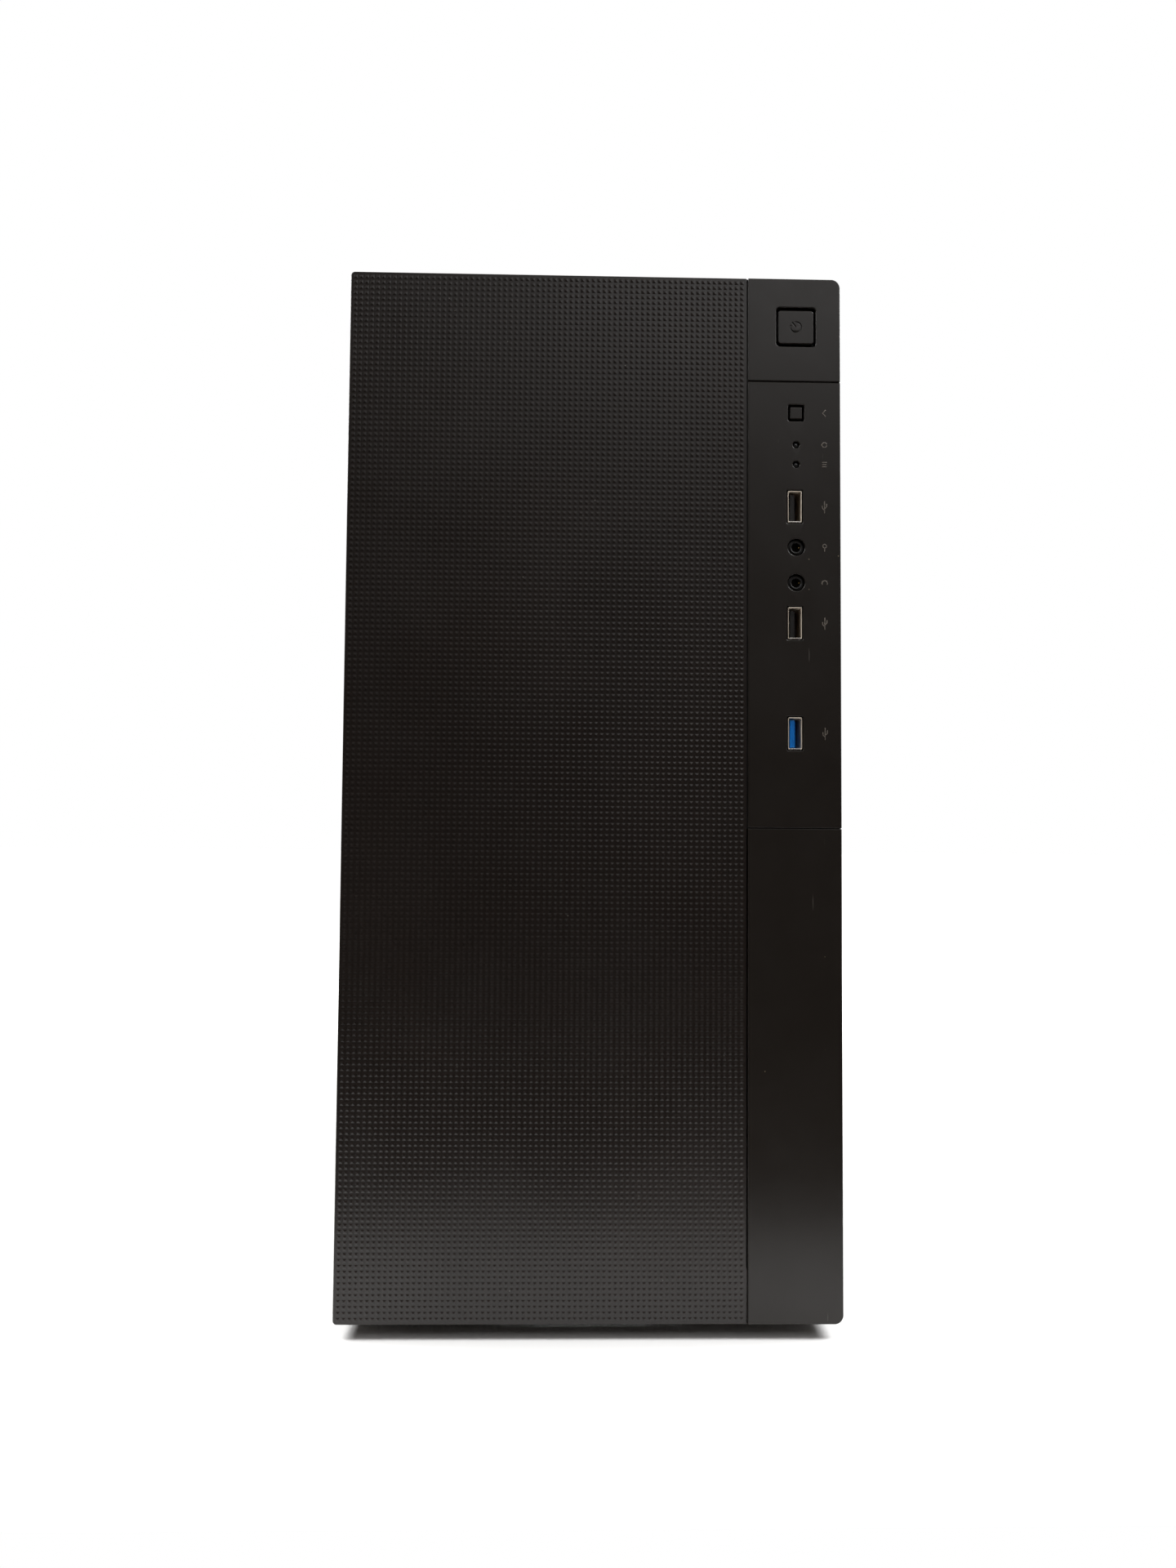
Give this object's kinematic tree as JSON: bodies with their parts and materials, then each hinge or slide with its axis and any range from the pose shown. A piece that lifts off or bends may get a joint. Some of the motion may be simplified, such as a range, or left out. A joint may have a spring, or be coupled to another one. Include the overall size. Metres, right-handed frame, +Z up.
{
  "type": "desktop computer tower",
  "caption": "Black desktop computer tower with a finely textured front, a column of buttons and ports, sliding side panels, and its board, drives, fans and power supply inside.",
  "frame": {"origin": "on the floor, under the middle of the tower's bounding box", "axes": "+Z up; the front faces -Y, so the thumbscrews point to +Y; +X is to the right seen from the front, the side of the port column"},
  "size_m": [0.2, 0.404, 0.426],
  "materials": {
    "textured_plastic": "moulded in a fine grid of small pyramids, black, low sheen",
    "satin_plastic": "satin black moulding with a very fine grain",
    "bezel_plastic": "fine spark grain, black",
    "black_plastic": "black, lightly glossy",
    "clear_plastic": "milky clear light pipe",
    "blue_plastic": "bright blue insulator",
    "grey_plastic": "dark grey insulator",
    "plated_metal": "nickel plate with a warm tone, fine drawn lines",
    "painted_steel": "black powder coat, fine orange peel",
    "zinc_steel": "bright zinc coat with faint rolling lines",
    "foot_rubber": "matt black rubber",
    "circuit_board": "green-black solder mask",
    "aluminium": "machined aluminium",
    "cable_jacket": "black braided sleeve"
  },
  "bodies": {
    "case": {"case_floor": "painted_steel", "case_top": "painted_steel", "case_front": "painted_steel", "rear_panel": "painted_steel", "motherboard_tray": "painted_steel", "drive_cage": "painted_steel", "front_left_foot": "foot_rubber", "front_right_foot": "foot_rubber", "rear_left_foot": "foot_rubber", "rear_right_foot": "foot_rubber", "slot_cover": "zinc_steel", "front_io_board": "circuit_board", "io_bracket": "zinc_steel", "power_switch": "black_plastic", "reset_switch": "black_plastic", "power_led": "clear_plastic", "drive_led": "clear_plastic", "usb_upper_shell": "plated_metal", "usb_upper_tongue": "grey_plastic", "usb_lower_shell": "plated_metal", "usb_lower_tongue": "grey_plastic", "usb_fast_shell": "plated_metal", "usb_fast_tongue": "blue_plastic", "microphone_jack": "black_plastic", "headphone_jack": "black_plastic", "rear_fan_frame": "black_plastic", "front_fan_frame": "black_plastic", "cpu_fan_frame": "black_plastic", "psu_case": "zinc_steel", "psu_fan_guard": "zinc_steel", "psu_inlet": "black_plastic", "motherboard": "circuit_board", "rear_ports": "plated_metal", "io_shield": "zinc_steel", "cpu_heatsink": "aluminium", "memory_module_1": "circuit_board", "memory_module_2": "circuit_board", "hard_drive": "aluminium", "solid_state_drive": "black_plastic", "main_power_cable": "cable_jacket", "front_panel_cable": "cable_jacket", "drive_cable": "cable_jacket"},
    "bezel": {"front_bezel": "bezel_plastic", "textured_panel": "textured_plastic", "power_cover": "satin_plastic", "port_cover": "satin_plastic", "lower_cover": "satin_plastic"},
    "power_button": {"power_button": "satin_plastic"},
    "reset_button": {"reset_button": "satin_plastic"},
    "left_side_panel": {"left_side_panel": "painted_steel"},
    "right_side_panel": {"right_side_panel": "painted_steel"},
    "upper_left_thumbscrew": {"upper_left_thumbscrew": "zinc_steel"},
    "lower_left_thumbscrew": {"lower_left_thumbscrew": "zinc_steel"},
    "upper_right_thumbscrew": {"upper_right_thumbscrew": "zinc_steel"},
    "lower_right_thumbscrew": {"lower_right_thumbscrew": "zinc_steel"},
    "rear_fan_rotor": {"rear_fan_rotor": "black_plastic"},
    "front_fan_rotor": {"front_fan_rotor": "black_plastic"},
    "cpu_fan_rotor": {"cpu_fan_rotor": "black_plastic"},
    "psu_fan_rotor": {"psu_fan_rotor": "black_plastic"},
    "psu_rocker": {"psu_rocker": "black_plastic"}
  },
  "joints": [
    {"name": "bezel_pull", "type": "slide", "parent": "case", "child": "bezel", "axis": [0, -1, 0], "range_m": [0, 0.06]},
    {"name": "power_button_press", "type": "slide", "parent": "bezel", "child": "power_button", "axis": [0, 1, 0], "range_m": [0, 0.0015], "stiffness_N_per_m": 400, "springref_m": -0.002},
    {"name": "reset_button_press", "type": "slide", "parent": "bezel", "child": "reset_button", "axis": [0, 1, 0], "range_m": [0, 0.001], "stiffness_N_per_m": 300, "springref_m": -0.002},
    {"name": "left_side_panel_slide", "type": "slide", "parent": "case", "child": "left_side_panel", "axis": [0, 1, 0], "range_m": [0, 0.365]},
    {"name": "right_side_panel_slide", "type": "slide", "parent": "case", "child": "right_side_panel", "axis": [0, 1, 0], "range_m": [0, 0.365]},
    {"name": "upper_left_thumbscrew_turn", "type": "hinge", "parent": "left_side_panel", "child": "upper_left_thumbscrew", "pos_m": [-0.092, 0.198, 0.373], "axis": [0, 1, 0], "continuous": true},
    {"name": "lower_left_thumbscrew_turn", "type": "hinge", "parent": "left_side_panel", "child": "lower_left_thumbscrew", "pos_m": [-0.092, 0.198, 0.058], "axis": [0, 1, 0], "continuous": true},
    {"name": "upper_right_thumbscrew_turn", "type": "hinge", "parent": "right_side_panel", "child": "upper_right_thumbscrew", "pos_m": [0.092, 0.198, 0.373], "axis": [0, 1, 0], "continuous": true},
    {"name": "lower_right_thumbscrew_turn", "type": "hinge", "parent": "right_side_panel", "child": "lower_right_thumbscrew", "pos_m": [0.092, 0.198, 0.058], "axis": [0, 1, 0], "continuous": true},
    {"name": "rear_fan_spin", "type": "hinge", "parent": "case", "child": "rear_fan_rotor", "pos_m": [-0.032, 0.178, 0.262], "axis": [0, 1, 0], "continuous": true},
    {"name": "front_fan_spin", "type": "hinge", "parent": "case", "child": "front_fan_rotor", "pos_m": [0, -0.154, 0.26], "axis": [0, 1, 0], "continuous": true},
    {"name": "cpu_fan_spin", "type": "hinge", "parent": "case", "child": "cpu_fan_rotor", "pos_m": [0.015, 0.112, 0.262], "axis": [1, 0, 0], "continuous": true},
    {"name": "psu_fan_spin", "type": "hinge", "parent": "case", "child": "psu_fan_rotor", "pos_m": [0.003, 0.1147, 0.35], "axis": [0, 0, 1], "continuous": true},
    {"name": "psu_switch_rock", "type": "hinge", "parent": "case", "child": "psu_rocker", "pos_m": [0.06, 0.1912, 0.361], "axis": [1, 0, 0], "range_deg": [-16, 0]}
  ]
}
